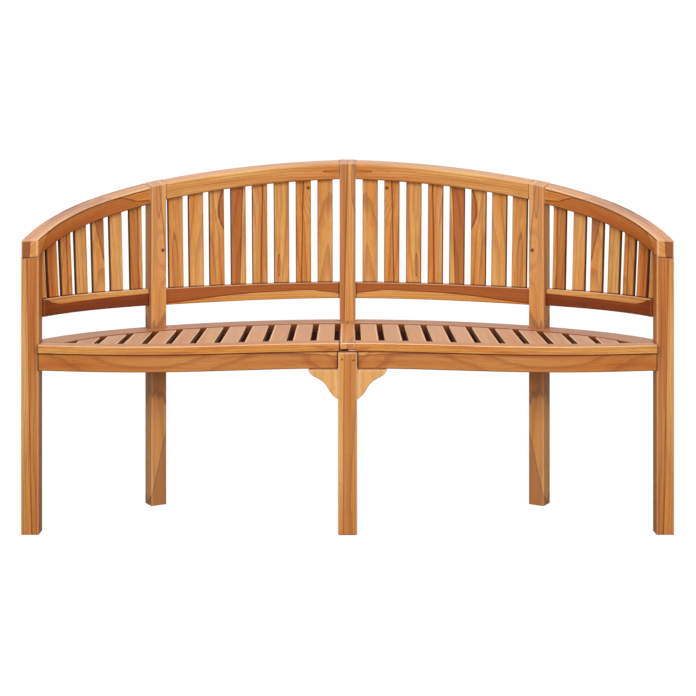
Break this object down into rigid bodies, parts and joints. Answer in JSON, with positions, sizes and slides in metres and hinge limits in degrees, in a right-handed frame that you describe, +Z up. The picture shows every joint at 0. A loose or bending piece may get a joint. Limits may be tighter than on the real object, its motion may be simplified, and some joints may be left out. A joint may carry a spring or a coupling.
{
  "type": "curved garden bench",
  "caption": "Crescent-shaped slatted wooden garden bench whose curved back runs round into sloping arms, with a waved front edge",
  "frame": {"origin": "on the floor under the middle of the bounding box", "axes": "+X to the right along the bench as seen from the front, +Y towards the back, +Z up"},
  "size_m": [1.5, 0.4879, 0.8545],
  "materials": {
    "frame_teak": "oiled teak, satin, golden to reddish brown with darker streaks",
    "ring_teak": "oiled teak, satin, golden to reddish brown with darker streaks",
    "rail_teak": "oiled teak, satin, golden to reddish brown with darker streaks",
    "slat_teak": "oiled teak, satin, golden to reddish brown with darker streaks",
    "board_teak": "oiled teak, satin, golden to reddish brown with darker streaks",
    "border_teak": "oiled teak, satin, golden to reddish brown with darker streaks",
    "seat_slat_teak": "oiled teak, satin, golden to reddish brown with darker streaks",
    "apron_teak": "oiled teak, satin, golden to reddish brown with darker streaks",
    "bracket_teak": "oiled teak, satin, golden to reddish brown with darker streaks"
  },
  "bodies": {
    "root": {"arm_rail_left": "ring_teak", "arm_rail_right": "ring_teak", "back_apron_left": "apron_teak", "back_apron_right": "apron_teak", "back_post_centre": "frame_teak", "back_post_left": "frame_teak", "back_post_right": "frame_teak", "back_slat_left_1": "slat_teak", "back_slat_left_10": "slat_teak", "back_slat_left_11": "slat_teak", "back_slat_left_12": "slat_teak", "back_slat_left_13": "slat_teak", "back_slat_left_14": "slat_teak", "back_slat_left_15": "slat_teak", "back_slat_left_2": "slat_teak", "back_slat_left_3": "slat_teak", "back_slat_left_4": "slat_teak", "back_slat_left_5": "slat_teak", "back_slat_left_6": "slat_teak", "back_slat_left_7": "slat_teak", "back_slat_left_8": "slat_teak", "back_slat_left_9": "slat_teak", "back_slat_right_1": "slat_teak", "back_slat_right_10": "slat_teak", "back_slat_right_11": "slat_teak", "back_slat_right_12": "slat_teak", "back_slat_right_13": "slat_teak", "back_slat_right_14": "slat_teak", "back_slat_right_15": "slat_teak", "back_slat_right_2": "slat_teak", "back_slat_right_3": "slat_teak", "back_slat_right_4": "slat_teak", "back_slat_right_5": "slat_teak", "back_slat_right_6": "slat_teak", "back_slat_right_7": "slat_teak", "back_slat_right_8": "slat_teak", "back_slat_right_9": "slat_teak", "bracket_left": "bracket_teak", "bracket_right": "bracket_teak", "cross_rail": "apron_teak", "front_apron_left": "apron_teak", "front_apron_right": "apron_teak", "front_board_left": "board_teak", "front_board_right": "board_teak", "front_leg_centre": "frame_teak", "front_leg_left": "frame_teak", "front_leg_right": "frame_teak", "lower_rail_left": "rail_teak", "lower_rail_right": "rail_teak", "seat_border_left": "border_teak", "seat_border_right": "border_teak", "seat_grille_left": "seat_slat_teak", "seat_grille_right": "seat_slat_teak", "seat_slat_centre": "seat_slat_teak", "side_apron_left": "apron_teak", "side_apron_right": "apron_teak", "side_rail_left": "rail_teak", "side_rail_right": "rail_teak", "top_rail_left": "ring_teak", "top_rail_right": "ring_teak"}
  },
  "joints": []
}
